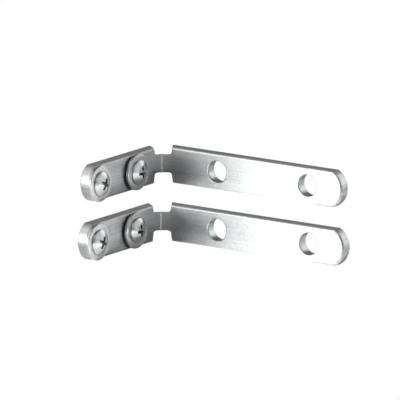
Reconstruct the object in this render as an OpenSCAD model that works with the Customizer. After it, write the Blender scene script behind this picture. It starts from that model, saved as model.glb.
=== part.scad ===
// Corner connectors for framing profiles, as a set of two alike.
// Each is a flat bar bent to a right angle at a notched neck. Its short leg carries two pan head
// screws, which draw large washers against a profile's lips, and its long leg has two bolt holes.

/* [Bar] */
// Width of the flat bar
bar_w = 15; // [13:0.5:24]
// Thickness of the flat bar
bar_t = 5; // [3.5:0.5:7]
// Rounding along the bar's long edges
edge_r = 0.8; // [0.3:0.1:1.2]
// Radius on the inside of the bend
bend_r = 0.5; // [0.3:0.1:2]
// Long leg, from the inside corner to the tip of its round end
long_leg = 89.5; // [86:0.5:140]
// Short leg, from the inside corner to the tip of its round end
short_leg = 51; // [49:0.5:90]
// Height of the arc at each end, from its corners to its tip
end_rise = 4.6; // [3:0.1:6]

/* [Notch] */
// Inside corner to each wall of the notch, along a leg's inner face
notch_reach = 5.5; // [4:0.1:8]
// Height of the neck that the notches leave
neck_h = 7.5; // [5:0.1:9]
// Draft of the notch's walls, opening outwards
notch_draft = 9; // [2:1:12]
// Tilt of both notches' roots, rising towards the inside of the bend
root_tilt = 10; // [0:1:12]
// Rounding in the root corners of the notch
notch_r = 1; // [0.4:0.1:1.5]

/* [Bolt holes] */
// Diameter of the bolt holes in the long leg
hole_d = 9; // [4:0.5:10]
// Inside corner to the centre of the first bolt hole
hole_first = 27.5; // [14:0.5:32]
// Distance between the bolt holes
hole_pitch = 45; // [15:0.5:54]
// Rounding of the bolt holes' rims
rim_r = 0.4; // [0.1:0.1:0.8]

/* [Screws] */
// Inside corner to the axis of the first screw
screw_first = 19; // [16:0.5:22]
// Distance between the screws
screw_pitch = 26.5; // [18:0.5:28]
// Thread diameter of the screws
screw_d = 5; // [3:0.5:6]
// Length of a screw under its head
screw_l = 8; // [7:0.5:16]
// Chamfer on a screw's tip
tip_c = 0.7; // [0.2:0.1:1]
// Gap all round a screw in its hole in the bar
thread_gap = 0.05; // [0.02:0.01:0.1]
// Depth of the countersinks at both mouths of that hole
sink = 0.35; // [0.1:0.05:0.6]
// Diameter of a screw's head
head_d = 10.4; // [8:0.1:13]
// Height of a screw's head
head_h = 2.4; // [2:0.1:4]
// Height of the straight rim below the head's dome
head_rim = 0.7; // [0.4:0.1:1.2]
// Width over the cross recess, where it meets the dome
recess_d = 5.2; // [3:0.1:6]
// Depth of the cross recess
recess_h = 1.8; // [1:0.1:2.4]
// Width of a wing of the cross recess
recess_w = 1.2; // [0.6:0.1:1.6]

/* [Washers] */
// Outer diameter of the washers
washer_d = 15; // [13:0.5:17]
// Thickness of the washers
washer_t = 1.2; // [0.6:0.1:1.6]
// Rounding of the washers' outer edges
washer_r = 0.3; // [0.1:0.05:0.3]
// Gap all round a screw in its washer
washer_gap = 0.15; // [0.1:0.05:0.5]
// Open gap between a washer and the bar, before a lip is clamped in it
lip_gap = 0.8; // [0.2:0.1:3]

/* [Set of two] */
// How far the front connector stands to the right of the rear one
pair_x = 62; // [0:1:140]
// How far the front connector stands before the rear one
pair_y = 88.5; // [66:0.5:160]

/* [Hidden] */
$fn = 64;
// Overlap that lets one cut run clear of another
eps = 0.1;
// Turn of each screw's cross, from upright
inner_turn = 4;
outer_turn = -26;

// Radius of an end arc, from its chord and its height
end_r = (pow(end_rise, 2) + pow(bar_w / 2, 2)) / (2 * end_rise);
// The notch lies across the corner's bisector, so its half width is the reach seen at 45 degrees
notch_half = notch_reach / sqrt(2);
notch_depth = (bar_w - neck_h) / 2;
notch_back = (bend_r + bar_t) * 2;
// The dome's radius, from its chord and its height
dome_h = head_h - head_rim;
dome_r = (pow(dome_h, 2) + pow(head_d / 2, 2)) / (2 * dome_h);
// The recess narrows to this share of its width at its floor
recess_floor = 0.35;
// How far the dome has fallen where the recess ends
recess_drop = dome_r - sqrt(pow(dome_r, 2) - pow(recess_d / 2, 2));
// Width of the recess at this height above its floor
function recess_span(h) = recess_d * (recess_floor + (1 - recess_floor) * h / (recess_h - recess_drop));

// Underside of a screw's head, from the bar's inner face
head_seat = lip_gap + washer_t;
screw_places = [screw_first, screw_first + screw_pitch];
hole_places = [hole_first, hole_first + hole_pitch];

// Box of the whole set, measured from the rear connector's inside corner
low_x = min(-bar_t, head_seat - screw_l);
high_x = long_leg + pair_x;
low_y = -max(short_leg, screw_places[1] + washer_d / 2) - pair_y;
high_y = bar_t;
low_z = min(0, (bar_w - washer_d) / 2);
// The origin lies on the floor, below the middle of that box
rear_place = [-(low_x + high_x) / 2, -(low_y + high_y) / 2, -low_z];
front_place = rear_place + [pair_x, -pair_y, 0];

// A rectangle with round corners, its lower left corner at the origin
module round_rect(w, h, r) {
    translate([r, 0]) square([w - 2 * r, h]);
    translate([0, r]) square([w, h - 2 * r]);
    for (x = [r, w - r]) {
        for (y = [r, h - r]) {
            translate([x, y]) circle(r);
        }
    }
}

// The bar's section: thickness along x, width along y
module bar_section() {
    round_rect(bar_t, bar_w, edge_r);
}

// A round blank of the bar's thickness, whose rim is rounded like the bar's edges
module end_blank() {
    rotate([-90, 0, 0]) rotate_extrude() {
        intersection() {
            translate([-end_r, 0]) round_rect(2 * end_r, bar_t, edge_r);
            square([end_r, bar_t]);
        }
    }
}

// One leg along +X with its inner face at y = 0, from the bend to its round end
module leg(length) {
    intersection() {
        translate([bend_r, 0, 0]) rotate([90, 0, 90]) linear_extrude(length) bar_section();
        union() {
            cube([length - end_r, bar_t, bar_w]);
            translate([length - end_r, 0, bar_w / 2]) end_blank();
        }
    }
}

// The bend between the legs, round an axis on the inside of the corner
module bend() {
    translate([bend_r, -bend_r, 0]) rotate([0, 0, 90]) {
        rotate_extrude(angle = 90) translate([bend_r, 0]) bar_section();
    }
}

// Opening of the notch seen along the bisector: drafted walls, round root corners, open above
module notch_profile() {
    mouth = notch_half * cos(notch_draft);
    root = mouth - notch_depth * tan(notch_draft);
    // Centre of a root corner, where its circle touches both the root and the drafted wall
    corner_x = root - notch_r * (1 / cos(notch_draft) - tan(notch_draft));
    wall_x = corner_x + notch_r * cos(notch_draft);
    wall_y = notch_r * (1 - sin(notch_draft));
    top_y = 2 * notch_depth;
    top_x = root + top_y * tan(notch_draft);
    polygon([
        [-corner_x, 0], [corner_x, 0], [wall_x, wall_y], [top_x, top_y],
        [-top_x, top_y], [-wall_x, wall_y]
    ]);
    for (side = [-1, 1]) {
        translate([side * corner_x, notch_r]) circle(notch_r);
    }
}

// The upper notch: two drafted cuts along the bisector, swung apart so that the walls open outwards
module notch(tilt) {
    for (swing = [-notch_draft, notch_draft]) {
        rotate([0, 0, 45]) translate([0, -notch_half, 0]) rotate([0, 0, swing])
            translate([0, notch_half, bar_w - notch_depth]) rotate([tilt, 0, 0])
                translate([0, notch_back, 0]) rotate([90, 0, 0])
                    linear_extrude(2 * notch_back) notch_profile();
    }
}

// A bolt hole through the long leg with rounded rims, its axis along Y
module bolt_hole() {
    rotate([-90, 0, 0]) {
        translate([0, 0, -eps]) cylinder(h = bar_t + 2 * eps, d = hole_d);
        rim_cut();
        translate([0, 0, bar_t]) mirror([0, 0, 1]) rim_cut();
    }
}

// A tapped hole through the short leg with countersunk mouths, its axis along X
module tapped_hole() {
    tap_d = screw_d + 2 * thread_gap;
    rotate([0, -90, 0]) {
        translate([0, 0, -eps]) cylinder(h = bar_t + 2 * eps, d = tap_d);
        for (mouth = [0, 1]) {
            translate([0, 0, mouth * bar_t]) mirror([0, 0, mouth]) translate([0, 0, -eps])
                cylinder(h = sink + eps, d1 = tap_d + 2 * (sink + eps), d2 = tap_d);
        }
    }
}

// What the rounding takes from a hole's rim in the plane z = 0
module rim_cut() {
    rotate_extrude() difference() {
        translate([hole_d / 2 - eps, -eps]) square([rim_r + eps, rim_r + eps]);
        translate([hole_d / 2 + rim_r, rim_r]) circle(rim_r);
    }
}

module strap() {
    color([0.72, 0.74, 0.74]) difference() {
        union() {
            leg(long_leg);
            bend();
            mirror([1, 1, 0]) leg(short_leg);
        }
        notch(-root_tilt);
        translate([0, 0, bar_w]) mirror([0, 0, 1]) notch(root_tilt);
        for (x = hole_places) {
            translate([x, 0, bar_w / 2]) bolt_hole();
        }
        for (y = screw_places) {
            translate([0, -y, bar_w / 2]) tapped_hole();
        }
    }
}

// A flat washer with softened outer edges, on the axis of the screw at this distance from the corner
module washer(place) {
    bore_r = screw_d / 2 + washer_gap;
    color([0.66, 0.69, 0.69]) translate([lip_gap, -place, bar_w / 2]) rotate([0, 90, 0]) {
        rotate_extrude() intersection() {
            translate([-washer_d / 2, 0]) round_rect(washer_d, washer_t, washer_r);
            translate([bore_r, 0]) square([washer_d / 2 - bore_r, washer_t]);
        }
    }
}

// The cross recess in a head whose top is at z = 0, tapering towards its floor
module recess() {
    translate([0, 0, -recess_h]) intersection() {
        cylinder(h = recess_h + eps, d1 = recess_span(0), d2 = recess_span(recess_h + eps));
        for (a = [0, 90]) {
            rotate([0, 0, a]) translate([-recess_d, -recess_w / 2, 0])
                cube([2 * recess_d, recess_w, recess_h + eps]);
        }
    }
    translate([0, 0, -recess_h])
        cylinder(h = recess_h + eps, d1 = recess_w, d2 = recess_d / 2);
}

// A domed pan head screw, its head seated on the washer at this distance from the corner
module screw(place, turn) {
    color([0.70, 0.73, 0.73]) translate([head_seat, -place, bar_w / 2]) rotate([0, 90, 0])
        rotate([0, 0, turn]) difference() {
            union() {
                rotate_extrude() intersection() {
                    square([head_d / 2, head_h]);
                    translate([0, head_h - dome_r]) circle(dome_r);
                }
                translate([0, 0, tip_c - screw_l]) cylinder(h = screw_l - tip_c + eps, d = screw_d);
                translate([0, 0, -screw_l])
                    cylinder(h = tip_c, d1 = screw_d - 2 * tip_c, d2 = screw_d);
            }
            translate([0, 0, head_h]) recess();
        }
}

translate(rear_place) strap();  // rear_strap
translate(rear_place) washer(screw_places[0]);  // rear_inner_washer
translate(rear_place) screw(screw_places[0], inner_turn);  // rear_inner_screw
translate(rear_place) washer(screw_places[1]);  // rear_outer_washer
translate(rear_place) screw(screw_places[1], outer_turn);  // rear_outer_screw
translate(front_place) strap();  // front_strap
translate(front_place) washer(screw_places[0]);  // front_inner_washer
translate(front_place) screw(screw_places[0], inner_turn);  // front_inner_screw
translate(front_place) washer(screw_places[1]);  // front_outer_washer
translate(front_place) screw(screw_places[1], outer_turn);  // front_outer_screw
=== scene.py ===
"""Two zinc plated corner connectors for framing profiles, with their clamp screws and washers."""
import math

import bmesh
import bpy
from mathutils import Matrix, Vector


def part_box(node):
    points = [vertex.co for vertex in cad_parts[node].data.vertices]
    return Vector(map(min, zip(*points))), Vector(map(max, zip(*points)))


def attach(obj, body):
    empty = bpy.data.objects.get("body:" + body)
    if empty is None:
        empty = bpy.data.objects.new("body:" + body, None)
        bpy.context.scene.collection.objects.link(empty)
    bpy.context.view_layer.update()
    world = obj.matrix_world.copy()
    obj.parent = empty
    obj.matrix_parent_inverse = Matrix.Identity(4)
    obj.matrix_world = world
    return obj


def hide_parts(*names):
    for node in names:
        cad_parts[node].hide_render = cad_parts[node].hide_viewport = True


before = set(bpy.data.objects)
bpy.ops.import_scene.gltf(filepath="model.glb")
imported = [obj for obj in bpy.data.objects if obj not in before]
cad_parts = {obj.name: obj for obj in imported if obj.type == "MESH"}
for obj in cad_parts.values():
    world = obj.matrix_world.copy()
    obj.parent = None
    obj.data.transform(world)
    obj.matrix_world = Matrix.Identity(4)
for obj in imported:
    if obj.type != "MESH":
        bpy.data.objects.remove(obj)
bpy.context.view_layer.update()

# Straps
# Flat steel bar with drawn round edges, blanked to an arc at both ends, punched, tapped and notched, then
# folded once to a right angle at the neck between the notches. It is plated with zinc after the last cut.
mm = 0.001
quarter_turn = math.pi / 2
full_turn = 2 * math.pi
sides = ("rear", "front")
places = ("inner", "outer")
bar_t = 5 * mm
edge_r = 0.8 * mm
edge_steps = 5
bend_r = 0.5 * mm
bend_steps = 10
end_rise = 4.6 * mm
end_steps = 28
bar_low, bar_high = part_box("rear_strap")
bar_w = bar_high.z - bar_low.z
bar_mid = bar_w / 2
long_leg = bar_high.x - bar_low.x - bar_t
short_leg = bar_high.y - bar_low.y - bar_t

# A punched hole has a rolled rim, a burnished band and a wider band where the slug broke out at the back
hole_r = 4.5 * mm
hole_steps = 96
hole_places = (27.5 * mm, 72.5 * mm)
rim_r = 0.55 * mm
rim_steps = 4
burnish = 2.6 * mm
break_step = 0.4 * mm
breakout = 0.12 * mm

# A tapped hole has a small countersink at both mouths
tap_r = 2.55 * mm
tap_steps = 64
tap_places = [bar_high.y - bar_t - sum(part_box(f"rear_{place}_screw"), Vector()).y / 2 for place in places]
sink = 0.35 * mm

# The notches lie along the corner's bisector, with drafted walls and round root corners
notch_reach = 5.5 * mm
neck_h = 7.5 * mm
notch_draft = math.radians(9)
root_tilt = math.radians(10)
notch_r = 1 * mm
notch_steps = 6
notch_depth = (bar_w - neck_h) / 2
notch_half = notch_reach / math.sqrt(2)
notch_back = 2 * (bend_r + bar_t)
notch_edge = 0.35 * mm
notch_edge_steps = 4
notch_zone = 2 * notch_reach

# How far a cutter stands out, how near two points count as one, and the angle from which an edge is sharp
overrun = 0.4 * mm
near = 1e-6
circle_slack = 0.01 * mm
sharp = math.radians(35)


def moved_verts(result):
    """The vertices that an operator made."""
    return [g for g in result["geom"] if isinstance(g, bmesh.types.BMVert)]


def bevel(bm, edges, width, steps):
    """Rounds edges, or chamfers them where there is one step."""
    bmesh.ops.bevel(bm, geom=edges, offset=width, segments=steps, profile=0.5, affect="EDGES", material=-1)


def close_shape(bm):
    """Joins what meets and turns every face outwards."""
    bmesh.ops.remove_doubles(bm, verts=bm.verts[:], dist=near)
    bmesh.ops.recalc_face_normals(bm, faces=bm.faces[:])


def make_object(bm, name):
    """Puts the shape in the scene as an object at the origin."""
    mesh = bpy.data.meshes.new(name)
    bm.to_mesh(mesh)
    bm.free()
    made = bpy.data.objects.new(name, mesh)
    bpy.context.scene.collection.objects.link(made)
    return made


def combine(bm, others, how):
    """Cuts the other shapes from this one, or joins them to it."""
    base = make_object(bm, "base")
    tools = [make_object(other, "tool") for other in others]
    for tool in tools:
        step = base.modifiers.new("step", "BOOLEAN")
        step.operation = how
        step.solver = "EXACT"
        step.object = tool
    bpy.context.view_layer.update()
    out = bmesh.new()
    out.from_object(base, bpy.context.evaluated_depsgraph_get())
    for spent in [base] + tools:
        mesh = spent.data
        bpy.data.objects.remove(spent)
        bpy.data.meshes.remove(mesh)
    close_shape(out)
    return out


def revolve(profile, steps, ring=False):
    """Turns (radius, height) points about Z. A ring's profile closes on itself, away from the axis."""
    bm = bmesh.new()
    line = [bm.verts.new((r, 0, h)) for r, h in profile]
    pairs = list(zip(line, line[1:]))
    if ring:
        pairs.append((line[-1], line[0]))
    edges = [bm.edges.new(pair) for pair in pairs]
    bmesh.ops.spin(bm, geom=line + edges, cent=(0, 0, 0), axis=(0, 0, 1), angle=full_turn, steps=steps,
                   use_merge=True)
    close_shape(bm)
    return bm


def turn_to(bm, axis, angle, centre):
    """Turns a shape about an axis through the origin and takes it to its place."""
    place = Matrix.Translation(centre) @ Matrix.Rotation(angle, 4, axis)
    bmesh.ops.transform(bm, matrix=place, verts=bm.verts[:])
    return bm


def leg_blank(length):
    """One leg along +X with its inner face at y = 0, its edges rounded, open towards the bend."""
    bm = bmesh.new()
    end_r = (end_rise ** 2 + bar_mid ** 2) / (2 * end_rise)
    sweep = 2 * math.asin(bar_mid / end_r)
    start = bm.verts.new((length - end_rise, 0, 0))
    centre = (length - end_r, 0, bar_mid)
    spun = bmesh.ops.spin(bm, geom=[start], cent=centre, axis=(0, -1, 0), angle=sweep, steps=end_steps)
    tip = next(g for g in spun["geom_last"] if isinstance(g, bmesh.types.BMVert))
    upper = bm.verts.new((bend_r, 0, bar_w))
    lower = bm.verts.new((bend_r, 0, 0))
    for pair in ((tip, upper), (upper, lower), (lower, start)):
        bm.edges.new(pair)
    bmesh.ops.edgeloop_fill(bm, edges=bm.edges[:])
    raised = bmesh.ops.extrude_face_region(bm, geom=bm.faces[:])
    bmesh.ops.translate(bm, verts=moved_verts(raised), vec=(0, bar_t, 0))
    bmesh.ops.recalc_face_normals(bm, faces=bm.faces[:])
    rim = []
    for edge in bm.edges:
        one, two = (v.co for v in edge.verts)
        if abs(one.y - two.y) < near and max(one.x, two.x) > bend_r + near:
            rim.append(edge)
    bevel(bm, rim, edge_r, edge_steps)
    mouth = [f for f in bm.faces if all(v.co.x < bend_r + near for v in f.verts)]
    bmesh.ops.delete(bm, geom=mouth, context="FACES")
    return bm


def folded_bar():
    """Both legs and the bend between them, before anything is cut."""
    bm = leg_blank(long_leg)
    mouth = [e for e in bm.edges if e.is_boundary]
    bmesh.ops.spin(bm, geom=mouth, cent=(bend_r, -bend_r, 0), axis=(0, 0, 1), angle=quarter_turn,
                   steps=bend_steps)
    other = leg_blank(short_leg)
    x_to_minus_y = Matrix(((0, -1, 0, 0), (-1, 0, 0, 0), (0, 0, 1, 0), (0, 0, 0, 1)))
    bmesh.ops.transform(other, matrix=x_to_minus_y, verts=other.verts[:])
    carrier = bpy.data.meshes.new("carrier")
    other.to_mesh(carrier)
    other.free()
    bm.from_mesh(carrier)
    bpy.data.meshes.remove(carrier)
    close_shape(bm)
    return bm


def notch_cutter(swing, above):
    """A trapezium with round root corners, drawn out along the bisector, tilted and swung to one side."""
    root = notch_half * math.cos(notch_draft) - notch_depth * math.tan(notch_draft)
    top = 2 * notch_depth
    flare = root + top * math.tan(notch_draft)
    bm = bmesh.new()
    corners = ((-root, 0), (root, 0), (flare, top), (-flare, top))
    ring = [bm.verts.new((x, -notch_back, z)) for x, z in corners]
    bm.faces.new(ring)
    tangent = notch_r * math.tan((quarter_turn - notch_draft) / 2)
    bmesh.ops.bevel(bm, geom=ring[:2], offset=tangent, segments=notch_steps, profile=0.5, affect="VERTICES",
                    material=-1)
    raised = bmesh.ops.extrude_face_region(bm, geom=bm.faces[:])
    bmesh.ops.translate(bm, verts=moved_verts(raised), vec=(0, 2 * notch_back, 0))
    place = (
        Matrix.Rotation(quarter_turn / 2, 4, "Z")
        @ Matrix.Translation((0, -notch_half, 0))
        @ Matrix.Rotation(swing, 4, "Z")
        @ Matrix.Translation((0, notch_half, bar_w - notch_depth))
        @ Matrix.Rotation(-root_tilt if above else root_tilt, 4, "X")
    )
    bmesh.ops.transform(bm, matrix=place, verts=bm.verts[:])
    if not above:
        bmesh.ops.scale(bm, vec=(1, 1, -1), verts=bm.verts[:])
        bmesh.ops.translate(bm, vec=(0, 0, bar_w), verts=bm.verts[:])
    bmesh.ops.recalc_face_normals(bm, faces=bm.faces[:])
    return bm


def on_circle(edge, centre, radius):
    """Whether both ends of an edge lie at this distance from a point."""
    return all(abs((v.co - Vector(centre)).length - radius) < circle_slack for v in edge.verts)


def strap_shape():
    """The finished strap, with the inside corner of its bend at the origin."""
    swings = (-notch_draft, notch_draft)
    cutters = [notch_cutter(swing, above) for swing in swings for above in (True, False)]
    wide_r = hole_r + breakout
    back = bar_t + overrun
    punched = (
        (0, -overrun),
        (hole_r, -overrun),
        (hole_r, burnish),
        (wide_r, burnish + break_step),
        (wide_r, back),
        (0, back),
    )
    tapped = ((0, -overrun), (tap_r, -overrun), (tap_r, back), (0, back))
    for x in hole_places:
        cutters.append(turn_to(revolve(punched, hole_steps), "X", -quarter_turn, (x, 0, bar_mid)))
    for y in tap_places:
        cutters.append(turn_to(revolve(tapped, tap_steps), "Y", -quarter_turn, (0, -y, bar_mid)))
    bm = combine(folded_bar(), cutters, "DIFFERENCE")
    rims = []
    mouths = []
    folds = []
    for edge in bm.edges:
        if any(on_circle(edge, (x, 0, bar_mid), hole_r) for x in hole_places):
            rims.append(edge)
        elif any(on_circle(edge, (x, bar_t, bar_mid), wide_r) for x in hole_places):
            rims.append(edge)
        elif any(on_circle(edge, (x, -y, bar_mid), tap_r) for x in (0, -bar_t) for y in tap_places):
            mouths.append(edge)
        elif edge.calc_face_angle(0) > sharp and max(v.co.x - v.co.y for v in edge.verts) < notch_zone:
            folds.append(edge)
    bevel(bm, folds, notch_edge, notch_edge_steps)
    bevel(bm, [e for e in rims if e.is_valid], rim_r, rim_steps)
    bevel(bm, [e for e in mouths if e.is_valid], sink, 1)
    # The rounding at the notches' mouths can stand a hair proud of the bar
    for vert in bm.verts:
        vert.co.y = min(vert.co.y, bar_t)
        vert.co.z = min(max(vert.co.z, 0), bar_w)
    return bm


class Channel:
    """A value in a shader's node tree. Arithmetic on it adds Math nodes."""

    def __init__(self, tree, socket):
        self.tree = tree
        self.socket = socket

    def node(self, kind, settings=None, sockets=None, out=0):
        """A new node: its settings are set first, then the values or links of its sockets."""
        made = self.tree.nodes.new(kind)
        for name, value in (settings or {}).items():
            setattr(made, name, value)
        for name, value in (sockets or {}).items():
            self.feed(made.inputs[name], value)
        return Channel(self.tree, made.outputs[out])

    def feed(self, slot, value):
        """Links a channel to a socket, or sets a plain value there."""
        if isinstance(value, Channel):
            self.tree.links.new(value.socket, slot)
        else:
            slot.default_value = value

    def math(self, operation, one, two):
        """A Math node on two values, of which an operation with one value leaves out the second."""
        return self.node("ShaderNodeMath", {"operation": operation}, {0: one, 1: two})

    def __add__(self, other):
        return self.math("ADD", self, other)

    def __radd__(self, other):
        return self.math("ADD", other, self)

    def __sub__(self, other):
        return self.math("SUBTRACT", self, other)

    def __rsub__(self, other):
        return self.math("SUBTRACT", other, self)

    def __mul__(self, other):
        return self.math("MULTIPLY", self, other)

    def __rmul__(self, other):
        return self.math("MULTIPLY", other, self)


# The plate's marks, in waves to a metre, and their shares in its tone, its gloss and its relief
cloud_waves = 170
speck_waves = 1100
pit_waves = 2600
cloud_tone = 0.6
speck_tone = 1.3
line_tone = 1.4
tone_drop = 1.15
cloud_gloss = 0.08
pit_gloss = 0.1
pit_relief = 0.25
noise_mean = 0.5

# The heights from the bar's middle at which a drawn edge starts to go dull, and is dull
dull_start = bar_mid - 1.1 * edge_r
dull_full = bar_mid - 0.5 * edge_r


def noise(vector, scale, detail, fineness):
    """Noise from 0 to 1 over a vector channel."""
    sockets = {"Vector": vector, "Scale": scale, "Detail": detail, "Roughness": fineness}
    return vector.node("ShaderNodeTexNoise", sockets=sockets)


def zinc_plate(name, deep, pale, roughness, grain, grain_depth, edge_dull=0):
    """Bright zinc plate, cloudy in tone and gloss, over the fine lines that forming left in the steel.

    The grain is those lines' waves to a metre along each axis. Where it is given, edge_dull is how much
    rougher the bar's drawn edges are than its faces.
    """
    material = bpy.data.materials.new(name)
    material.use_nodes = True
    tree = material.node_tree
    shader = tree.nodes["Principled BSDF"]
    coords = Channel(tree, tree.nodes.new("ShaderNodeTexCoord").outputs["Object"])
    stretched = coords.node("ShaderNodeMapping", sockets={"Vector": coords, "Scale": grain})
    lines = noise(stretched, scale=1, detail=3, fineness=0.6)
    clouds = noise(coords, cloud_waves, detail=5, fineness=0.6)
    pits = noise(coords, pit_waves, detail=2, fineness=0.5)
    specks = noise(coords, speck_waves, detail=2, fineness=0.5)
    tone = cloud_tone * clouds + speck_tone * specks + line_tone * lines - tone_drop
    # A Mix node for colours has its factor at socket 0, its two colours at 6 and 7 and the result at 2
    colour = coords.node("ShaderNodeMix", {"data_type": "RGBA"}, {0: tone, 6: deep, 7: pale}, out=2)
    relief = lines + pit_relief * pits
    bump = coords.node("ShaderNodeBump", sockets={"Strength": 1, "Distance": grain_depth, "Height": relief})
    gloss = roughness + cloud_gloss * (clouds - noise_mean) + pit_gloss * (pits - noise_mean)
    if edge_dull:
        height = coords.node("ShaderNodeSeparateXYZ", sockets={"Vector": coords}, out="Z")
        away = height.math("ABSOLUTE", height - bar_mid, 0)
        span = {"Value": away, "From Min": dull_start, "From Max": dull_full}
        gloss = gloss + edge_dull * coords.node("ShaderNodeMapRange", sockets=span)
    coords.feed(shader.inputs["Base Color"], colour)
    coords.feed(shader.inputs["Roughness"], gloss)
    coords.feed(shader.inputs["Normal"], bump)
    shader.inputs["Metallic"].default_value = 1
    return material


def dress(piece, material, body, node):
    """Gives a finished piece its plate, smooth shading and its place in the model."""
    piece.data.materials.append(material)
    piece.data.shade_smooth()
    piece.data.set_sharp_from_angle(angle=sharp)
    weigh = piece.modifiers.new("even_normals", "WEIGHTED_NORMAL")
    weigh.keep_sharp = True
    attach(piece, body)
    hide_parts(node)


bar_plate = zinc_plate(
    "bar_plate",
    deep=(0.335, 0.352, 0.352, 1),
    pale=(0.512, 0.528, 0.528, 1),
    roughness=0.38,
    grain=(25, 25, 1400),
    grain_depth=0.012 * mm,
    edge_dull=0.24,
)
for side in sides:
    low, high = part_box(f"{side}_strap")
    shape = strap_shape()
    bmesh.ops.translate(shape, verts=shape.verts[:], vec=(low.x + bar_t, high.y - bar_t, low.z))
    dress(make_object(shape, f"{side}_strap_plated"), bar_plate, "straps", f"{side}_strap")

# Washers
# Large flat washers, stamped from steel sheet by a punch that rolls the outer edge over at the front, and
# plated. Each stays on its screw below the head, and a profile's lip is clamped between it and the bar.
washer_steps = 128
washer_roll = 0.5 * mm
washer_roll_steps = 5
washer_edge = 0.15 * mm
bore_r = 2.65 * mm
bore_edge = 0.12 * mm
small_steps = 2


def creases(bm, angle):
    """The edges at which a shape turns by more than this angle."""
    return [e for e in bm.edges if e.calc_face_angle(0) > angle]


def washer_shape(radius, thick):
    """A washer with its back at z = 0 and its rolled edge at the front."""
    bm = revolve(((bore_r, 0), (radius, 0), (radius, thick), (bore_r, thick)), washer_steps, ring=True)
    front = []
    back = []
    bore = []
    for edge in creases(bm, sharp):
        start = edge.verts[0].co
        if start.xy.length < bore_r + near:
            bore.append(edge)
        elif start.z > thick / 2:
            front.append(edge)
        else:
            back.append(edge)
    bevel(bm, front, washer_roll, washer_roll_steps)
    bevel(bm, [e for e in back if e.is_valid], washer_edge, small_steps)
    bevel(bm, [e for e in bore if e.is_valid], bore_edge, small_steps)
    return bm


washer_plate = zinc_plate(
    "washer_plate",
    deep=(0.37, 0.386, 0.386, 1),
    pale=(0.545, 0.562, 0.562, 1),
    roughness=0.34,
    grain=(300, 300, 300),
    grain_depth=0.004 * mm,
)
for side in sides:
    for place in places:
        node = f"{side}_{place}_washer"
        low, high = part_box(node)
        middle = (low + high) / 2
        shape = washer_shape((high.z - low.z) / 2, high.x - low.x)
        turn_to(shape, "Y", quarter_turn, (low.x, middle.y, middle.z))
        dress(make_object(shape, f"{node}_plated"), washer_plate, node, node)

# Screws
# Pan head machine screws, M5 by 0.8 mm, cold headed with a cross recess, thread rolled and zinc plated. The
# bar is their nut, and the washers ride below their heads.
head_h = 2.4 * mm
head_steps = 96
head_rim = 0.7 * mm
head_foot = 0.12 * mm
head_shoulder = 0.25 * mm
shoulder_steps = 4
dome_steps = 16
brim_angle = math.radians(20)
brim_share = 0.9
turns_of_cross = {"inner": math.radians(4), "outer": math.radians(-26)}

low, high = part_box("rear_inner_screw")
head_r = (high.z - low.z) / 2
dome_h = head_h - head_rim
dome_r = (dome_h ** 2 + head_r ** 2) / (2 * dome_h)
dome_centre = Vector((0, 0, head_h - dome_r))

# The recess narrows downwards, and its floor has these shares of its wings' reach and width
recess_w = 1.2 * mm
recess_r = 2.6 * mm
recess_h = 1.8 * mm
recess_steps = 32
floor_reach = 0.35
floor_width = 0.8
recess_edge = 0.08 * mm
lip_zone = 1.2 * recess_r

# The thread's depth and flats are shares of its pitch, as on any metric thread
thread_pitch = 0.8 * mm
thread_steps = 36
thread_r = 2.5 * mm
thread_depth = 0.541
root_flat = 0.25
crest_flat = 0.125
thread_root_r = thread_r - thread_depth * thread_pitch
flank = (1 - root_flat - crest_flat) / 2
spare_turns = 3
tip_c = 0.7 * mm
shank_top = head_h / 4


def recess_wing(angle):
    """Two opposite wings of the cross, narrower at their floor and full where they meet the fallen dome."""
    bm = bmesh.new()
    bmesh.ops.create_cube(bm, size=2)
    full = recess_h - dome_r + math.sqrt(dome_r ** 2 - recess_r ** 2)
    top = recess_h + overrun
    for vert in bm.verts:
        share = top / full if vert.co.z > 0 else 0
        reach = recess_r * (floor_reach + (1 - floor_reach) * share)
        width = recess_w / 2 * (floor_width + (1 - floor_width) * share)
        vert.co = (vert.co.x * reach, vert.co.y * width, head_h - recess_h + share * full)
    bmesh.ops.rotate(bm, cent=(0, 0, 0), matrix=Matrix.Rotation(angle, 3, "Z"), verts=bm.verts[:])
    return bm


def recess_core():
    """The round flare between the wings."""
    bm = bmesh.new()
    depth = recess_h + overrun
    bmesh.ops.create_cone(bm, cap_ends=True, segments=recess_steps, radius1=recess_w / 2,
                          radius2=recess_r / 2, depth=depth)
    bmesh.ops.translate(bm, verts=bm.verts[:], vec=(0, 0, head_h - recess_h + depth / 2))
    return bm


def head_shape():
    """The domed head, its seat at z = 0, with the cross recess punched into it."""
    sweep = math.asin(head_r / dome_r)
    arc = [sweep * (1 - i / dome_steps) for i in range(dome_steps + 1)]
    dome = [(dome_r * math.sin(a), head_h - dome_r * (1 - math.cos(a))) for a in arc]
    bm = revolve([(0, 0), (head_r, 0)] + dome, head_steps)
    brim = [e for e in creases(bm, brim_angle) if e.verts[0].co.xy.length > brim_share * head_r]
    foot = [e for e in brim if max(v.co.z for v in e.verts) < near]
    bevel(bm, [e for e in brim if e not in foot], head_shoulder, shoulder_steps)
    bevel(bm, [e for e in foot if e.is_valid], head_foot, small_steps)
    cutters = [recess_wing(0), recess_wing(quarter_turn), recess_core()]
    bm = combine(bm, cutters, "DIFFERENCE")
    lips = [e for e in creases(bm, sharp) if e.verts[0].co.xy.length < lip_zone]
    bevel(bm, [e for e in lips if min(v.co.z for v in e.verts) > head_rim], recess_edge, small_steps)
    return bm


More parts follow.
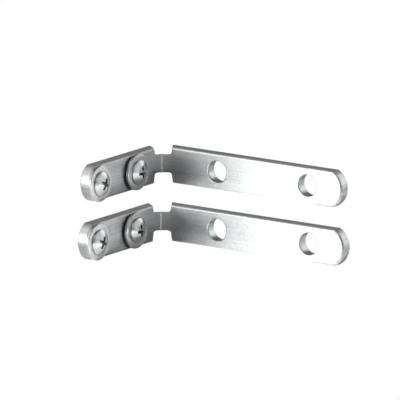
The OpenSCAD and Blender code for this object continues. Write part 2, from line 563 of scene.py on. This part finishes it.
def shank_shape(length):
    """The rolled thread from z = -length up into the head, a right-hand helix with a chamfered tip."""
    turns = math.ceil(length / thread_pitch) + spare_turns
    foot = -length - spare_turns / 2 * thread_pitch
    wave = (
        (thread_root_r, 0),
        (thread_root_r, root_flat),
        (thread_r, root_flat + flank),
        (thread_r, 1 - flank),
        (thread_root_r, 1),
    )
    bm = bmesh.new()
    line = [bm.verts.new((r, 0, foot + share * thread_pitch)) for r, share in wave]
    edges = [bm.edges.new(pair) for pair in zip(line, line[1:])]
    rise = (0, 0, thread_pitch / thread_steps)
    bmesh.ops.spin(bm, geom=line + edges, cent=(0, 0, 0), axis=(0, 0, 1), dvec=rise, angle=full_turn * turns,
                   steps=thread_steps * turns)
    bmesh.ops.remove_doubles(bm, verts=bm.verts[:], dist=near)
    for vert in bm.verts:
        radius = vert.co.xy.length
        limit = max(thread_r - tip_c + vert.co.z + length, thread_r - 2 * tip_c)
        if radius > limit:
            vert.co.xy *= limit / radius
    for height, up in ((-length, -1), (shank_top, 1)):
        whole = bm.verts[:] + bm.edges[:] + bm.faces[:]
        bmesh.ops.bisect_plane(bm, geom=whole, plane_co=(0, 0, height), plane_no=(0, 0, up),
                               clear_outer=True)
        ends = [e for e in bm.edges if all(abs(v.co.z - height) < near for v in e.verts)]
        bmesh.ops.edgeloop_fill(bm, edges=[e for e in ends if e.is_boundary])
    close_shape(bm)
    return bm


def paint_recess_shade(bm):
    """Gives the faces of the recess, which lie below the dome, the screw's second material: a dark plate
    that paints in the shade falling into the recess.
    """
    for face in bm.faces:
        middle = face.calc_center_median()
        below = dome_r - (middle - dome_centre).length
        if middle.z > head_h - recess_h - near and middle.xy.length < recess_r and below > recess_edge:
            face.material_index = 1


headed_grain = (500, 500, 500)
headed_depth = 0.003 * mm
screw_plate = zinc_plate(
    "screw_plate",
    deep=(0.36, 0.376, 0.376, 1),
    pale=(0.53, 0.546, 0.546, 1),
    roughness=0.3,
    grain=headed_grain,
    grain_depth=headed_depth,
)
# Painted shade: the cross recess gets a much darker plate, which stands in for the shade that falls into the
# hollow
recess_painted_shade = zinc_plate(
    "recess_painted_shade",
    deep=(0.12, 0.13, 0.13, 1),
    pale=(0.20, 0.21, 0.21, 1),
    roughness=0.45,
    grain=headed_grain,
    grain_depth=headed_depth,
)
for side in sides:
    for place in places:
        node = f"{side}_{place}_screw"
        low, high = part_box(node)
        middle = (low + high) / 2
        seat = high.x - head_h
        shape = combine(head_shape(), [shank_shape(seat - low.x)], "UNION")
        paint_recess_shade(shape)
        turn_to(shape, "Z", turns_of_cross[place], (0, 0, 0))
        turn_to(shape, "Y", quarter_turn, (seat, middle.y, middle.z))
        screw = make_object(shape, f"{node}_plated")
        dress(screw, screw_plate, node, node)
        screw.data.materials.append(recess_painted_shade)

# Floor
# What the camera sees is plain white card. What the metal reflects is a matt white table in the same place,
# on which the soft boxes throw the legs' shadows.
floor_half = 3
floor_glow = 1.0
black = (0, 0, 0, 1)
white = (1, 1, 1, 1)
table_white = (0.9, 0.9, 0.9, 1)


def stage_sheet(name, colour, glow):
    """A large square sheet on the ground, which isn't part of the set."""
    bm = bmesh.new()
    bmesh.ops.create_grid(bm, x_segments=1, y_segments=1, size=floor_half)
    sheet = make_object(bm, name)
    material = bpy.data.materials.new(name)
    material.use_nodes = True
    shader = material.node_tree.nodes["Principled BSDF"]
    shader.inputs["Base Color"].default_value = colour
    shader.inputs["Roughness"].default_value = 1
    shader.inputs["Specular IOR Level"].default_value = 0
    shader.inputs["Emission Color"].default_value = white
    shader.inputs["Emission Strength"].default_value = glow
    sheet.data.materials.append(material)
    return sheet


floor = stage_sheet("floor", black, floor_glow)
floor.visible_glossy = False
floor.visible_diffuse = False
floor.visible_shadow = False
table = stage_sheet("table", table_white, 0)
table.visible_camera = False

# Light
# A dim grey room with soft boxes all round, whose reflections line the edges, rims and domes. The ground
# before each long leg has a lamp of its own, and the leg's face mirrors it as white that fades to the bend.
scene = bpy.context.scene
scene.view_settings.view_transform = "Standard"
room_glow = 0.2
room = bpy.data.worlds.new("room")
room.use_nodes = True
room.node_tree.nodes["Background"].inputs["Color"].default_value = (room_glow, room_glow, room_glow, 1)
scene.world = room
box_distance = 1


def soft_box(name, azimuth, elevation, width, height, glow):
    """A soft box that faces the set. Its glow is its brightness as a mirror would show it."""
    lamp = bpy.data.lights.new(name, "AREA")
    lamp.shape = "RECTANGLE"
    lamp.size = width
    lamp.size_y = height
    lamp.energy = math.pi * width * height * glow
    box = bpy.data.objects.new(name, lamp)
    around = Matrix.Rotation(math.radians(azimuth), 4, "Z")
    upwards = Matrix.Rotation(math.radians(90 + elevation), 4, "X")
    outwards = Matrix.Translation((0, 0, -box_distance))
    about_face = Matrix.Rotation(math.pi, 4, "Y")
    box.matrix_world = around @ upwards @ outwards @ about_face
    box.visible_camera = False
    scene.collection.objects.link(box)


soft_box("left_box", azimuth=145, elevation=7, width=0.7, height=0.3, glow=12)
soft_box("sky_box", azimuth=125, elevation=40, width=0.9, height=0.7, glow=1.3)
soft_box("front_box", azimuth=-145, elevation=48, width=0.8, height=0.6, glow=1.2)
soft_box("right_box", azimuth=-58, elevation=20, width=1.4, height=0.65, glow=1)
soft_box("back_box", azimuth=-18, elevation=20, width=0.45, height=0.6, glow=1.7)
soft_box("spark_box", azimuth=-48, elevation=2, width=0.35, height=0.2, glow=2.4)

# Each ground lamp lights the table alone, and slants so that its patch reaches along the leg
lamp_azimuth = math.radians(-110)
lamp_slope = math.radians(25)
lamp_distance = 0.6
lamp_place = Vector((49 * mm, -30 * mm, 0))
lamp_way = Vector((math.cos(lamp_azimuth), math.sin(lamp_azimuth), math.tan(lamp_slope))).normalized()
lamp_power = 114
lamp_cone = math.radians(7.8)
lamp_size = 0.03
lit_sheets = bpy.data.collections.new("lit_sheets")
lit_sheets.objects.link(table)
for side in sides:
    low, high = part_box(f"{side}_strap")
    spot = bpy.data.lights.new(f"{side}_ground_lamp", "SPOT")
    spot.energy = lamp_power
    spot.spot_size = lamp_cone
    spot.spot_blend = 1
    spot.shadow_soft_size = lamp_size
    lamp = bpy.data.objects.new(f"{side}_ground_lamp", spot)
    patch = Vector((low.x + bar_t, high.y - bar_t, low.z)) + lamp_place
    turn = lamp_way.to_track_quat("Z", "Y").to_matrix().to_4x4()
    lamp.matrix_world = Matrix.Translation(patch + lamp_distance * lamp_way) @ turn
    lamp.light_linking.receiver_collection = lit_sheets
    lamp.visible_glossy = False
    scene.collection.objects.link(lamp)

# Camera
# A very long lens at the photograph's viewing angle, so that both connectors come out the same size. It aims
# to the right of the rear connector's inside corner and below it.
azimuth = math.radians(35.116)
elevation = math.radians(12.584)
distance = 6.785
lens_mm = 1490
aim_right = 1.0403 * bar_w
aim_down = 0.997 * bar_w
level = math.cos(elevation)
look = Vector((math.sin(azimuth) * level, -math.cos(azimuth) * level, math.sin(elevation)))
right = Vector((math.cos(azimuth), math.sin(azimuth), 0))
up = look.cross(right)
corner = Vector((bar_low.x + bar_t, bar_high.y - bar_t, bar_low.z + bar_mid))
target = corner + aim_right * right - aim_down * up
camera_data = bpy.data.cameras.new("camera")
camera_data.lens = lens_mm
camera_data.clip_end = 2 * distance
camera = bpy.data.objects.new("camera", camera_data)
facing = Matrix((right, up, look)).transposed().to_4x4()
camera.matrix_world = Matrix.Translation(target + distance * look) @ facing
scene.collection.objects.link(camera)
scene.camera = camera
